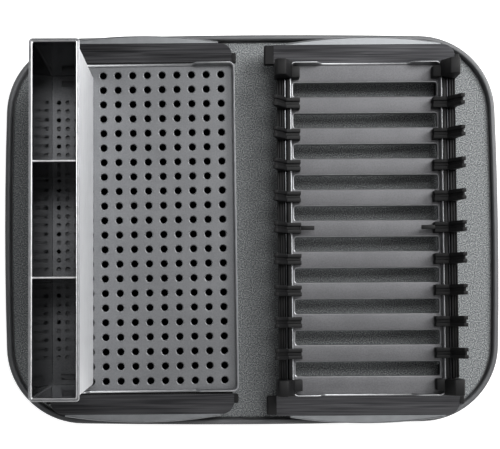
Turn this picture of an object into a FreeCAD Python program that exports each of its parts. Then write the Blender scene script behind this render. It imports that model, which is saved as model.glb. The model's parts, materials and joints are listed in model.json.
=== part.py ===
import FreeCAD, Part
import math
import os
import re
import Sketcher
from FreeCAD import Vector

# Instrument draining tray: a shallow base tray carries two lift-out racks. The left rack holds a perforated
# pan with an upright three-compartment caddy, the right rack holds a slatted sheet between two prong combs.
# +X runs along the tray's length, +Y to its back, +Z up. The origin is under the tray's middle, at its feet.

# Driving dimensions, in millimetres and degrees.
SIZES = {
    # Base tray
    "tray_length": 441.6,
    "tray_width": 349.4,
    "tray_corner": 69.0,
    "end_bow": 3400.0,
    "side_bow": 6400.0,
    "foot_height": 5.0,
    "tray_floor": 9.0,
    "rim_top": 17.0,
    "rim_width": 4.8,
    "wall_angle": 8.0,
    "inner_angle": 3.0,
    "rim_outer_round": 1.7,
    "rim_inner_round": 1.6,
    "mat_gap": 1.4,
    "mat_thick": 3.0,
    "foot_radius": 9.0,
    "foot_x": 165.0,
    "foot_y": 128.0,
    # Racks
    "left_x": -97.0,
    "right_x": 100.4,
    "right_y": -2.2,
    "sheet_top": 35.0,
    "sheet_thick": 1.0,
    "rack_end": 146.0,
    "ledge": 12.0,
    "arch_height": 8.0,
    "arch_margin": 26.0,
    "left_frame_half": 79.0,
    "left_frame_inner": 66.0,
    "right_frame_half": 76.0,
    "right_frame_inner": 65.0,
    # Wings at the rack ends
    "wing_half": 80.2,
    "wing_gap": 0.3,
    "wing_web": 3.0,
    "wing_web_low": 20.0,
    "wing_inner_top": 34.4,
    "wing_outer_top": 31.0,
    "wing_thick": 2.6,
    "wing_reach": 163.8,
    "wing_round": 11.0,
    "grip_half": 68.0,
    "grip_base": 1.6,
    "grip_bow": 5.4,
    "grip_round": 1.4,
    "broad_cap": 8.5,
    "broad_reach": 162.6,
    "slim_cap": 3.8,
    "slim_reach": 154.0,
    "cap_low": 26.0,
    "cap_round": 1.4,
    # Perforated pan
    "pan_half": 83.3,
    "pan_end": 144.0,
    "pan_corner": 5.0,
    "pan_turn": 0.4,
    "hole_radius": 2.9,
    "hole_columns": 12,
    "hole_rows": 22,
    "column_pitch": 12.95,
    "row_pitch": 12.8,
    "edge_height": 8.0,
    "edge_thick": 1.5,
    "edge_round": 0.7,
    "edge_low": 1.8,
    "edge_slope": 8.0,
    "pan_lip": 44.0,
    # Slatted sheet
    "slat_half": 66.4,
    "window_half": 63.0,
    "window_width": 11.8,
    "window_pitch": 27.3,
    "window_count": 10,
    "window_wall": 1.6,
    "window_drop": 5.0,
    "window_round": 1.9,
    "slat_lip": 26.0,
    # Combs
    "comb_gap": 0.3,
    "rail_outer": 78.0,
    "rail_end": 131.0,
    "groove_inner": 69.6,
    "groove_outer": 72.5,
    "groove_depth": 3.0,
    "rod_radius": 1.1,
    "foot_inner": 58.0,
    "foot_top": 46.8,
    "foot_width": 9.4,
    "prong_top": 62.0,
    "prong_lean": 4.6,
    "prong_tip": 3.6,
    "prong_width": 8.2,
    "prong_count": 9,
    "finger_reach": 46.5,
    "finger_width": 3.6,
    "block_start": 131.4,
    "block_foot_end": 141.6,
    "block_post_end": 145.7,
    "block_outer": 80.2,
    "block_top": 60.0,
    # Caddy
    "caddy_x": -157.5,
    "caddy_y": -1.7,
    "caddy_turn": -0.15,
    "caddy_top": 145.0,
    "caddy_half": 18.2,
    "caddy_end": 140.8,
    "caddy_draft": 4.5,
    "caddy_wall": 1.0,
    "caddy_corner": 3.0,
    "caddy_ledge": 2.5,
    "caddy_rim_half": 20.1,
    "caddy_rim_end": 142.9,
    "caddy_rim_thick": 1.8,
    "caddy_rim_round": 0.7,
    "drain_radius": 2.0,
    "drain_pitch": 7.7,
    "drain_columns": 4,
    "drain_rows": 30,
    "drain_slot_half": 9.2,
    "drain_slot_width": 5.0,
    "drain_slot_end": 131.0,
    "divider_y": 46.0,
    "divider_thick": 1.2,
    "divider_drop": 2.5,
}

doc = FreeCAD.newDocument("InstrumentTray")
sheet = doc.addObject("Spreadsheet::Sheet", "Sizes")
for row, (alias, number) in enumerate(SIZES.items(), 1):
    sheet.set(f"A{row}", alias)
    sheet.set(f"B{row}", str(number))
    sheet.setAlias(f"B{row}", alias)
doc.recompute()

nodes = []


# Helpers --------------------------------------------------------------------------------------------------

def cells(text):
    """An expression with each size's name turned into its cell in the sheet."""
    return re.sub(r"[a-z_]+", lambda found: ("Sizes." if found.group() in SIZES else "") + found.group(), text)


def amount(text):
    """The number that an expression gives."""
    return float(sheet.evalExpression(cells(text)))


def bind(item, **settings):
    """Binds properties to expressions; a double underscore in a name stands for a dot."""
    for name, text in settings.items():
        item.setExpression(name.replace("__", "."), cells(text))


def node(item, name):
    """Names a finished sub-part."""
    item.Label = name
    nodes.append(item)
    return item


def new_body(name):
    return node(doc.addObject("PartDesign::Body", name), name)


def new_sketch(body, role, height=None):
    """A sketch on one of the body's own origin planes, raised by an expression."""
    sketch = body.newObject("Sketcher::SketchObject", body.Name + "_sketch")
    plane = [item for item in body.Origin.OriginFeatures if item.Role == role][0]
    sketch.AttachmentSupport = [(plane, "")]
    sketch.MapMode = "FlatFace"
    if height:
        bind(sketch, AttachmentOffset__Base__z=height)
    return sketch


def fix_point(sketch, curve, corner, across, along):
    """Holds one end of a curve at two distances from the sketch's origin."""
    for kind, text in (("DistanceX", across), ("DistanceY", along)):
        rule = sketch.addConstraint(Sketcher.Constraint(kind, -1, 1, curve, corner, amount(text)))
        sketch.setExpression(f"Constraints[{rule}]", cells(text))


def polygon(body, role, points, height=None):
    """A closed polygon whose corners are pairs of expressions."""
    sketch = new_sketch(body, role, height)
    spots = [Vector(amount(across), amount(along), 0) for across, along in points]
    count = len(spots)
    for index in range(count):
        sketch.addGeometry(Part.LineSegment(spots[index], spots[(index + 1) % count]))
    for index in range(count):
        sketch.addConstraint(Sketcher.Constraint("Coincident", index, 2, (index + 1) % count, 1))
    for index, (across, along) in enumerate(points):
        fix_point(sketch, index, 1, across, along)
    return sketch


def rectangle(body, x_low, x_high, y_low, y_high, height=None, role="XY_Plane"):
    corners = [(x_low, y_low), (x_high, y_low), (x_high, y_high), (x_low, y_high)]
    return polygon(body, role, corners, height)


def circle(body, radius, x, y, height):
    sketch = new_sketch(body, "XY_Plane", height)
    sketch.addGeometry(Part.Circle(Vector(amount(x), amount(y), 0), Vector(0, 0, 1), amount(radius)))
    rule = sketch.addConstraint(Sketcher.Constraint("Radius", 0, amount(radius)))
    sketch.setExpression(f"Constraints[{rule}]", cells(radius))
    fix_point(sketch, 0, 3, x, y)
    return sketch


def pad(body, sketch, length, symmetric=False, down=False, taper=None):
    feature = body.newObject("PartDesign::Pad", body.Name + "_pad")
    feature.Profile = sketch
    feature.Midplane = symmetric
    feature.Reversed = down
    bind(feature, Length=length)
    if taper:
        bind(feature, TaperAngle=taper)
    doc.recompute()
    return feature


def pocket(body, sketch, length, symmetric=False, up=False, taper=None):
    """Cuts a sketch into the body and makes sure that it took material away."""
    before = body.Shape.Volume
    feature = body.newObject("PartDesign::Pocket", body.Name + "_pocket")
    feature.Profile = sketch
    feature.Midplane = symmetric
    feature.Reversed = up
    bind(feature, Length=length)
    if taper:
        bind(feature, TaperAngle=taper)
    doc.recompute()
    if not body.Shape.Volume < before - 0.01:
        raise RuntimeError(f"a pocket in {body.Label} cut nothing")
    return feature


def row_pattern(body, features, spans, counts):
    """Repeats features along X, Y or both; spans and counts are expressions keyed by axis."""
    group = body.newObject("PartDesign::MultiTransform", body.Name + "_grid")
    group.Originals = features
    steps = []
    for axis, span in spans.items():
        step = body.newObject("PartDesign::LinearPattern", f"{body.Name}_{axis}")
        line = [item for item in body.Origin.OriginFeatures if item.Role == axis + "_Axis"][0]
        step.Direction = (line, [""])
        bind(step, Length=span, Occurrences=counts[axis])
        steps.append(step)
    group.Transformations = steps
    body.Tip = group
    doc.recompute()
    return group


def mirror_across(body, features, role):
    """Repeats features on the other side of one of the body's own origin planes."""
    mirror = body.newObject("PartDesign::Mirrored", body.Name + "_mirror")
    mirror.Originals = features
    mirror.MirrorPlane = ([item for item in body.Origin.OriginFeatures if item.Role == role][0], [""])
    body.Tip = mirror
    doc.recompute()


def round_edges(body, radius, test):
    """Fillets the edges of the body's newest feature that pass a test."""
    base = body.Tip
    names = [f"Edge{index}" for index, edge in enumerate(base.Shape.Edges, 1) if test(edge)]
    fillet = body.newObject("PartDesign::Fillet", body.Name + "_fillet")
    fillet.Base = (base, names)
    bind(fillet, Radius=radius)
    doc.recompute()
    return fillet


def level(edge, height):
    """Whether an edge lies flat at a height."""
    box = edge.BoundBox
    return abs(box.ZMin - height) < 0.01 and abs(box.ZMax - height) < 0.01


def upright(edge):
    """Whether an edge runs mostly up."""
    box = edge.BoundBox
    return box.ZLength > 0.5 and box.ZLength > 4 * (box.XLength + box.YLength)


def box(name, x_low, x_high, y_low, y_high, z_low, z_high):
    """A Part box between expressions."""
    item = doc.addObject("Part::Box", name)
    bind(item, Length=f"({x_high}) - ({x_low})", Width=f"({y_high}) - ({y_low})",
         Height=f"({z_high}) - ({z_low})",
         Placement__Base__x=x_low, Placement__Base__y=y_low, Placement__Base__z=z_low)
    return item


def signed(side, text):
    """An expression on the low or high side of zero."""
    return f"{side} * ({text})"


# Base tray ------------------------------------------------------------------------------------------------

def arc_between(centre, radius, start, end):
    """A counter-clockwise arc about a centre from one point to another."""
    first = math.atan2(start.y - centre.y, start.x - centre.x)
    last = math.atan2(end.y - centre.y, end.x - centre.x)
    if last < first:
        last += 2 * math.pi
    return Part.ArcOfCircle(Part.Circle(centre, Vector(0, 0, 1), radius), first, last)


def tray_outline(body, inset, height):
    """The tray's outline: four round corners joined by four slightly bowed sides, all tangent."""
    half_x, half_y = amount(f"tray_length / 2 - ({inset})"), amount(f"tray_width / 2 - ({inset})")
    corner = amount(f"tray_corner - ({inset})")
    end_radius, side_radius = amount(f"end_bow - ({inset})"), amount(f"side_bow - ({inset})")
    x, y = half_x - corner, half_y - corner
    for _ in range(20):
        x = half_x - end_radius + math.sqrt((end_radius - corner) ** 2 - y ** 2)
        y = half_y - side_radius + math.sqrt((side_radius - corner) ** 2 - x ** 2)
    right, back = Vector(half_x - end_radius, 0, 0), Vector(0, half_y - side_radius, 0)
    on_end = Vector(x, y, 0) + (Vector(x, y, 0) - right).normalize() * corner
    on_side = Vector(x, y, 0) + (Vector(x, y, 0) - back).normalize() * corner

    def flip(point, across, along):
        return Vector(point.x * across, point.y * along, 0)

    signs = [(1, 1), (-1, 1), (-1, -1), (1, -1)]
    sketch = new_sketch(body, "XY_Plane", height)
    for index, (across, along) in enumerate(signs):
        centre = Vector(x * across, y * along, 0)
        ends = [flip(on_end, across, along), flip(on_side, across, along)]
        if across * along < 0:
            ends.reverse()
        sketch.addGeometry(arc_between(centre, corner, *ends))
        next_across, next_along = signs[(index + 1) % 4]
        if next_along == along:
            sketch.addGeometry(arc_between(flip(back, 1, along), side_radius, ends[1], flip(ends[1], -1, 1)))
        else:
            sketch.addGeometry(arc_between(flip(right, across, 1), end_radius, ends[1], flip(ends[1], 1, -1)))
    for index in range(8):
        sketch.addConstraint(Sketcher.Constraint("Tangent", index, 2, (index + 1) % 8, 1))
    rules = [("tray_corner", (0, 2, 4, 6)), ("side_bow", (1, 5)), ("end_bow", (3, 7))]
    for alias, curves in rules:
        for curve in curves[1:]:
            sketch.addConstraint(Sketcher.Constraint("Equal", curves[0], curve))
        radius = sketch.addConstraint(Sketcher.Constraint("Radius", curves[0], amount(f"{alias} - ({inset})")))
        sketch.setExpression(f"Constraints[{radius}]", cells(f"{alias} - ({inset})"))
    places = [(1, "side_bow", "tray_width", 1), (5, "side_bow", "tray_width", -1),
              (3, "end_bow", "tray_length", -1), (7, "end_bow", "tray_length", 1)]
    for curve, bow, width, side in places:
        far, axis = ("DistanceY", -2) if bow == "side_bow" else ("DistanceX", -1)
        sketch.addConstraint(Sketcher.Constraint("PointOnObject", curve, 3, axis))
        text = signed(side, f"{width} / 2 - {bow}")
        rule = sketch.addConstraint(Sketcher.Constraint(far, -1, 1, curve, 3, amount(text)))
        sketch.setExpression(f"Constraints[{rule}]", cells(text))
    return sketch


def base_tray():
    body = new_body("base_tray")
    pad(body, tray_outline(body, "0", "rim_top"), "rim_top - foot_height", down=True, taper="-wall_angle")
    pocket(body, tray_outline(body, "rim_width", "rim_top"), "rim_top - tray_floor", taper="-inner_angle")
    half = amount("tray_length / 2") - 0.5 * amount("rim_width")
    top = amount("rim_top")
    round_edges(body, "rim_outer_round", lambda edge: level(edge, top) and on_outline(edge, half, 1))
    round_edges(body, "rim_inner_round", lambda edge: level(edge, top) and on_outline(edge, half, -1))


def on_outline(edge, half, side):
    """Whether a rim edge belongs to the outer (1) or the inner (-1) outline."""
    middle = edge.valueAt((edge.FirstParameter + edge.LastParameter) / 2)
    inset = amount("tray_length") / 2 - half
    reach_x, reach_y = half, amount("tray_width") / 2 - inset
    corner = amount("tray_corner") - inset
    dx, dy = max(abs(middle.x) - (reach_x - corner), 0), max(abs(middle.y) - (reach_y - corner), 0)
    return side * (math.hypot(dx, dy) - corner) > 0


def liner_mat():
    body = new_body("liner_mat")
    pad(body, tray_outline(body, "rim_width + mat_gap", "tray_floor"), "mat_thick")
    round_edges(body, "rim_inner_round", lambda edge: level(edge, amount("tray_floor + mat_thick")))


def tray_feet():
    feet = []
    for across in (-1, 0, 1):
        for along in (-1, 1):
            foot = doc.addObject("Part::Cylinder", "foot")
            bind(foot, Radius="foot_radius", Height="foot_height", Placement__Base__x=signed(across, "foot_x"),
                 Placement__Base__y=signed(along, "foot_y"))
            feet.append(foot)
    group = doc.addObject("Part::Compound", "tray_feet")
    group.Links = feet
    node(group, "tray_feet")


# Rack frames and their wings --------------------------------------------------------------------------------

def cradle_frame(side):
    """An open rectangular frame that stands on the mat on its corners and carries a sheet on its top."""
    half, inner, centre = f"{side}_frame_half", f"{side}_frame_inner", f"{side}_x"
    low, top = "tray_floor + mat_thick", "sheet_top - sheet_thick"
    arch = f"{low} + arch_height"
    name = f"{side}_cradle_frame"
    outer = box(name + "_outer", f"{centre} - {half}", f"{centre} + {half}", "-rack_end", "rack_end", low, top)
    cuts = [
        box(name + "_well", f"{centre} - {inner}", f"{centre} + {inner}", "ledge - rack_end",
            "rack_end - ledge", f"{low} - 1", f"{top} + 1"),
        box(name + "_side_arch", f"{centre} - {half} - 1", f"{centre} + {half} + 1", "arch_margin - rack_end",
            "rack_end - arch_margin", f"{low} - 1", arch),
        box(name + "_end_arch", f"{centre} - {half} + arch_margin", f"{centre} + {half} - arch_margin",
            "-rack_end - 1", "rack_end + 1", f"{low} - 1", arch),
    ]
    tools = doc.addObject("Part::MultiFuse", name + "_cuts")
    tools.Shapes = cuts
    frame = doc.addObject("Part::Cut", name)
    frame.Base, frame.Tool = outer, tools
    node(frame, name)


def wing(side, end, sign):
    """A sloping end plate on an upright web that meets the end of the frame."""
    body = new_body(f"{side}_{end}_wing")
    slope = "(wing_inner_top - wing_outer_top) / (wing_reach - rack_end)"
    web_top = f"wing_inner_top - wing_thick - {slope} * wing_web"
    points = [
        ("rack_end", "wing_web_low"),
        ("rack_end + wing_web", "wing_web_low"),
        ("rack_end + wing_web", web_top),
        ("wing_reach", "wing_outer_top - wing_thick"),
        ("wing_reach", "wing_outer_top"),
        ("rack_end", "wing_inner_top"),
    ]
    points = [(signed(sign, across), up) for across, up in points]
    pad(body, polygon(body, "YZ_Plane", points, f"{side}_x"), "2 * wing_half", symmetric=True)
    reach, middle = amount("wing_reach"), amount(f"{side}_x")
    round_edges(body, "wing_round", lambda edge: upright(edge) and abs(edge.BoundBox.YMin * sign - reach) < 0.1
                and not has_broad_cap(side, edge.BoundBox.XMin - middle))


def has_broad_cap(side, across):
    """Whether a wing's end, left or right of its rack's middle, is the square one with the broad cap."""
    return side == "right" and across < 0


def grip(side, end, sign):
    """A bowed lip along the wing's outer edge, rounded where fingers lift it."""
    body = new_body(f"{side}_{end}_grip")
    sketch = new_sketch(body, "XY_Plane", "wing_outer_top - wing_thick")
    centre, half, bow = amount(f"{side}_x"), amount("grip_half"), amount("grip_bow")
    near, far = "wing_reach", "wing_reach + grip_base"
    corners = [(-1, near), (1, near), (1, far), (-1, far)]
    spots = [Vector(centre + across * half, sign * amount(reach), 0) for across, reach in corners]
    crest = Vector(centre, sign * (amount(far) + bow), 0)
    for index in (0, 1):
        sketch.addGeometry(Part.LineSegment(spots[index], spots[index + 1]))
    sketch.addGeometry(Part.LineSegment(spots[3], spots[0]))
    sketch.addGeometry(Part.Arc(spots[2], crest, spots[3]))
    start, stop = (1, 2) if sign > 0 else (2, 1)
    for first, first_end, second, second_end in ((0, 2, 1, 1), (2, 2, 0, 1), (1, 2, 3, start), (2, 1, 3, stop)):
        sketch.addConstraint(Sketcher.Constraint("Coincident", first, first_end, second, second_end))
    for curve, (across, reach) in ((0, corners[0]), (1, corners[1])):
        fix_point(sketch, curve, 1, f"{side}_x + {across} * grip_half", signed(sign, reach))
    fix_point(sketch, 1, 2, f"{side}_x + grip_half", signed(sign, far))
    fix_point(sketch, 2, 1, f"{side}_x - grip_half", signed(sign, far))
    radius = "(grip_half * grip_half + grip_bow * grip_bow) / (2 * grip_bow)"
    rule = sketch.addConstraint(Sketcher.Constraint("Radius", 3, amount(radius)))
    sketch.setExpression(f"Constraints[{rule}]", cells(radius))
    pad(body, sketch, "wing_thick")
    top = amount("wing_outer_top")
    round_edges(body, "grip_round", lambda edge: level(edge, top) and edge.BoundBox.YLength > bow / 2)


def end_caps(side):
    """Four moulded blocks that close the wings' ends."""
    caps = []
    for across in (-1, 1):
        length, reach = ("broad_cap", "broad_reach") if has_broad_cap(side, across) else ("slim_cap", "slim_reach")
        for along in (-1, 1):
            x_ends = [f"{side}_x + {across} * wing_half", f"{side}_x + {across} * (wing_half + {length})"]
            y_ends = [signed(along, "rack_end + wing_gap"), signed(along, reach)]
            if across < 0:
                x_ends.reverse()
            if along < 0:
                y_ends.reverse()
            block = box(f"{side}_cap", *x_ends, *y_ends, "cap_low", "wing_inner_top")
            doc.recompute()
            inner = amount(f"{side}_x + {across} * wing_half")
            rounded = doc.addObject("Part::Fillet", f"{side}_cap_rounded")
            rounded.Base = block
            free = [index for index, edge in enumerate(block.Shape.Edges, 1)
                    if abs(edge.BoundBox.XMin - inner) > 0.1 and abs(edge.BoundBox.XMax - inner) > 0.1]
            rounded.Edges = [(index, SIZES["cap_round"], SIZES["cap_round"]) for index in free]
            caps.append(rounded)
    group = doc.addObject("Part::Compound", f"{side}_end_caps")
    group.Links = caps
    node(group, f"{side}_end_caps")


# Sheets and their upstands ----------------------------------------------------------------------------------

def sheet_blank(body, side, half, end):
    """A flat rectangular sheet with round corners."""
    blank = rectangle(body, f"{side}_x - {half}", f"{side}_x + {half}", f"-{end}", end, "sheet_top - sheet_thick")
    pad(body, blank, "sheet_thick")
    round_edges(body, "pan_corner", upright)


def perforated_panel():
    body = new_body("perforated_panel")
    sheet_blank(body, "left", "pan_half", "pan_end")
    first_x = "left_x - (hole_columns - 1) * column_pitch / 2"
    first_y = "-(hole_rows - 1) * row_pitch / 2"
    hole = pocket(body, circle(body, "hole_radius", first_x, first_y, "sheet_top"), "2 * sheet_thick")
    row_pattern(body, [hole], {"X": "(hole_columns - 1) * column_pitch", "Y": "(hole_rows - 1) * row_pitch"},
                {"X": "hole_columns", "Y": "hole_rows"})


def edge_frame(name, side, half, end, lip):
    """An upstand around a sheet, high at its corners and dipped along the middle of both ends."""
    body = new_body(name)
    top = "sheet_top + edge_height"
    outer = rectangle(body, f"{side}_x - {half}", f"{side}_x + {half}", f"-{end}", end, "sheet_top")
    pad(body, outer, "edge_height")
    round_edges(body, "pan_corner", upright)
    wall = "edge_thick"
    inner = rectangle(body, f"{side}_x - {half} + {wall}", f"{side}_x + {half} - {wall}", f"{wall} - {end}",
                      f"{end} - {wall}", top)
    pocket(body, inner, "edge_height")
    inner_edges = [edge for edge in body.Shape.Edges if upright(edge) and sharp_corner(edge, side, half, end)]
    marks = [edge.BoundBox.Center for edge in inner_edges]
    round_edges(body, "pan_corner - edge_thick",
                lambda edge: any(edge.BoundBox.Center.distanceToPoint(mark) < 0.01 for mark in marks))
    low, high = "sheet_top + edge_low", f"{top} + 1"
    dip = [
        (f"{side}_x - {half} + {lip} + edge_slope", low),
        (f"{side}_x + {half} - {lip} - edge_slope", low),
        (f"{side}_x + {half} - {lip}", high),
        (f"{side}_x - {half} + {lip}", high),
    ]
    pocket(body, polygon(body, "XZ_Plane", dip), f"2 * {end} + 2", symmetric=True)
    round_edges(body, "edge_round", lambda edge: edge.BoundBox.ZMax > amount("sheet_top + edge_low - 0.1")
                and edge.BoundBox.ZMin > amount("sheet_top + edge_low - 0.1") and long_edge(edge))


def sharp_corner(edge, side, half, end):
    """Whether an upright edge is one of the inner corners of an upstand."""
    middle = edge.BoundBox.Center
    across = abs(abs(middle.x - amount(f"{side}_x")) - amount(f"{half} - edge_thick"))
    along = abs(abs(middle.y) - amount(f"{end} - edge_thick"))
    return across < 0.01 and along < 0.01


def long_edge(edge):
    """Whether an edge follows the upstand instead of crossing its thickness."""
    return edge.Length > 1.2 * amount("edge_thick")


def slatted_panel():
    """A sheet with a row of long windows, each with its edge drawn down and rounded."""
    body = new_body("slatted_panel")
    sheet_blank(body, "right", "slat_half", "rack_end")
    first = "-(window_count - 1) * window_pitch / 2"
    reach, span = "window_half", "(window_count - 1) * window_pitch"
    wall_sketch = rectangle(body, f"right_x - {reach} - window_wall", f"right_x + {reach} + window_wall",
                            f"{first} - window_width / 2 - window_wall", f"{first} + window_width / 2 + window_wall",
                            "sheet_top")
    wall = pad(body, wall_sketch, "window_drop", down=True)
    row_pattern(body, [wall], {"Y": span}, {"Y": "window_count"})
    opening = rectangle(body, f"right_x - {reach}", f"right_x + {reach}", f"{first} - window_width / 2",
                        f"{first} + window_width / 2", "sheet_top")
    window = pocket(body, opening, "window_drop + 1")
    row_pattern(body, [window], {"Y": span}, {"Y": "window_count"})
    top, edge_x = amount("sheet_top"), amount("slat_half - 1")
    round_edges(body, "window_round", lambda edge: level(edge, top)
                and abs(edge.BoundBox.XMin - amount("right_x")) < edge_x
                and abs(edge.BoundBox.XMax - amount("right_x")) < edge_x
                and max(abs(edge.BoundBox.YMin), abs(edge.BoundBox.YMax)) < amount("rack_end - 1"))


# Combs ------------------------------------------------------------------------------------------------------

def comb_profile(side, points):
    """Points given by their distance from the right rack's middle, on one side of it."""
    return [(f"right_x + {side} * ({across})", up) for across, up in points]


def comb(name, side):
    """One prong comb: a grooved rail with a rod in it, saddle feet with upright prongs, and two end blocks."""
    frame_top = "sheet_top - sheet_thick"
    upstand = "sheet_top + edge_height"
    inner_face = "slat_half + comb_gap"
    foot_low = "sheet_top + comb_gap"
    foot_outer = "slat_half - edge_thick - comb_gap"
    saddle = f"{upstand} + comb_gap"

    rail = new_body(f"{name}_rail")
    points = [
        (inner_face, f"{frame_top} + comb_gap"), ("rail_outer", f"{frame_top} + comb_gap"),
        ("rail_outer", upstand), ("groove_outer", upstand),
        ("groove_outer", f"{upstand} - groove_depth"), ("groove_inner", f"{upstand} - groove_depth"),
        ("groove_inner", upstand), (inner_face, upstand),
    ]
    pad(rail, polygon(rail, "XZ_Plane", comb_profile(side, points)), "2 * rail_end", symmetric=True)

    rod = doc.addObject("Part::Cylinder", f"{name}_rod")
    rod.Placement.Rotation = FreeCAD.Rotation(Vector(1, 0, 0), -90)
    bind(rod, Radius="rod_radius", Height="2 * rail_end", Placement__Base__y="right_y - rail_end",
         Placement__Base__x=f"right_x + {side} * (groove_inner + groove_outer) / 2",
         Placement__Base__z=f"{upstand} - groove_depth + rod_radius")
    node(rod, f"{name}_rod")

    prongs = new_body(f"{name}_prongs")
    foot = [
        ("foot_inner", foot_low), (foot_outer, foot_low), (foot_outer, saddle), (inner_face, saddle),
        (inner_face, upstand), ("rail_outer", upstand), ("rail_outer", "foot_top"), ("foot_inner", "foot_top"),
    ]
    fin = [
        ("groove_inner", "foot_top"), ("rail_outer", "foot_top"), ("rail_outer + prong_lean", "prong_top"),
        ("rail_outer + prong_lean - prong_tip", "prong_top"), ("groove_outer", "foot_top + 6"),
    ]
    first = "-(prong_count - 1) * window_pitch / 2"
    place = f"-({first})"
    features = [
        pad(prongs, polygon(prongs, "XZ_Plane", comb_profile(side, foot), place), "foot_width", symmetric=True),
        pad(prongs, polygon(prongs, "XZ_Plane", comb_profile(side, fin), place), "prong_width", symmetric=True),
    ]
    row_pattern(prongs, features, {"Y": "(prong_count - 1) * window_pitch"}, {"Y": "prong_count"})

    finger = box(f"{name}_finger", *sorted_pair(side, "finger_reach", "foot_inner"), "right_y - finger_width / 2",
                 "right_y + finger_width / 2", "foot_top - finger_width", "foot_top")
    node(finger, f"{name}_finger")

    blocks = new_body(f"{name}_end_blocks")
    saddle_foot = [
        ("foot_inner", foot_low), (foot_outer, foot_low), (foot_outer, saddle), ("groove_inner", saddle),
        ("groove_inner", "foot_top + 1"), ("foot_inner", "foot_top"),
    ]
    post = [
        (foot_outer, saddle), (inner_face, saddle), (inner_face, f"{frame_top} + comb_gap"),
        ("block_outer", f"{frame_top} + comb_gap"), ("block_outer", "block_top"), ("groove_inner", "block_top"),
        (foot_outer, "foot_top + 1"),
    ]
    features = []
    for points, end in ((saddle_foot, "block_foot_end"), (post, "block_post_end")):
        sketch = polygon(blocks, "XZ_Plane", comb_profile(side, points), f"(block_start + {end}) / 2")
        features.append(pad(blocks, sketch, f"{end} - block_start", symmetric=True))
    mirror_across(blocks, features, "XZ_Plane")


def sorted_pair(side, near, far):
    """Two places on one side of the right rack's middle, the lower first."""
    ends = [f"right_x + {side} * {near}", f"right_x + {side} * {far}"]
    return ends if side > 0 else ends[::-1]


# Caddy ------------------------------------------------------------------------------------------------------

def caddy_outline(inset, low, high):
    """The caddy's lengthwise section, narrower at its foot, set in from its outside."""
    foot = "sheet_top + comb_gap"
    lean = f"caddy_draft / (caddy_top - ({foot}))"
    spots = []
    for end, height in ((-1, low), (1, low), (1, high), (-1, high)):
        reach = f"caddy_end - ({inset}) - {lean} * (caddy_top - ({height}))"
        spots.append((f"caddy_y + {signed(end, reach)}", height))
    return spots


def caddy_shell():
    body = new_body("caddy_shell")
    low, high = "sheet_top + comb_gap", "caddy_top - caddy_rim_thick"
    outside = polygon(body, "YZ_Plane", caddy_outline("0", low, high), "caddy_x")
    pad(body, outside, "2 * caddy_half", symmetric=True)
    round_edges(body, "caddy_corner", upright)
    shelf = f"{low} + 2 * caddy_wall"
    inside = polygon(body, "YZ_Plane", caddy_outline("caddy_wall", shelf, f"{high} + 1"), "caddy_x")
    pocket(body, inside, "2 * (caddy_half - caddy_wall)", symmetric=True)
    well = polygon(body, "YZ_Plane", caddy_outline("caddy_wall + caddy_ledge", f"{low} - 1", shelf), "caddy_x")
    pocket(body, well, "2 * (caddy_half - caddy_wall - caddy_ledge)", symmetric=True)


def caddy_rim():
    body = new_body("caddy_rim")
    low = "caddy_top - caddy_rim_thick"
    outer = rectangle(body, "caddy_x - caddy_rim_half", "caddy_x + caddy_rim_half", "caddy_y - caddy_rim_end",
                      "caddy_y + caddy_rim_end", low)
    pad(body, outer, "caddy_rim_thick")
    round_edges(body, "caddy_corner", upright)
    wall = "caddy_wall"
    inner = rectangle(body, f"caddy_x - caddy_half + {wall}", f"caddy_x + caddy_half - {wall}",
                      f"caddy_y - caddy_end + {wall}", f"caddy_y + caddy_end - {wall}", "caddy_top")
    pocket(body, inner, "caddy_rim_thick")
    round_edges(body, "caddy_rim_round", lambda edge: level(edge, amount("caddy_top")))


def caddy_floor():
    """The lift-in drain floor: rows of small holes and a slot at each end."""
    body = new_body("caddy_floor")
    low = "sheet_top + comb_gap + 2 * caddy_wall"
    end = "caddy_end - caddy_wall - caddy_draft - 0.2"
    side = "caddy_half - caddy_wall - 0.2"
    plate = rectangle(body, f"caddy_x - ({side})", f"caddy_x + {side}", f"caddy_y - ({end})", f"caddy_y + {end}",
                      low)
    pad(body, plate, "caddy_wall")
    top = f"{low} + caddy_wall"
    first_x, first_y = "caddy_x - 1.5 * drain_pitch", "caddy_y - (drain_rows - 1) * drain_pitch / 2"
    hole = pocket(body, circle(body, "drain_radius", first_x, first_y, top), "caddy_wall + 1")
    row_pattern(body, [hole], {"X": "(drain_columns - 1) * drain_pitch", "Y": "(drain_rows - 1) * drain_pitch"},
                {"X": "drain_columns", "Y": "drain_rows"})
    slot = rectangle(body, "caddy_x - drain_slot_half", "caddy_x + drain_slot_half", "caddy_y - drain_slot_end",
                     "caddy_y - drain_slot_end + drain_slot_width", top)
    cut = pocket(body, slot, "caddy_wall + 1")
    row_pattern(body, [cut], {"Y": "2 * drain_slot_end - drain_slot_width"}, {"Y": "2"})


def divider(name, sign):
    body = new_body(name)
    low = "sheet_top + comb_gap + 3 * caddy_wall"
    side = "(caddy_half - caddy_wall)"
    y = f"caddy_y + {sign} * divider_y"
    outline = rectangle(body, f"caddy_x - {side}", f"caddy_x + {side}", f"{y} - divider_thick / 2",
                        f"{y} + divider_thick / 2", low)
    pad(body, outline, f"caddy_top - divider_drop - ({low})")


# Places -----------------------------------------------------------------------------------------------------

def turn_pieces(names, x, y, angle):
    """Turns loosely laid pieces about an upright axis."""
    turn = FreeCAD.Rotation(Vector(0, 0, 1), amount(angle))
    for item in nodes:
        if item.Label in names:
            item.Placement = FreeCAD.Placement(Vector(), turn, Vector(amount(x), amount(y), 0))


WHOLE_TYPES = ("PartDesign::Body", "Part::Cut", "Part::Compound")


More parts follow.
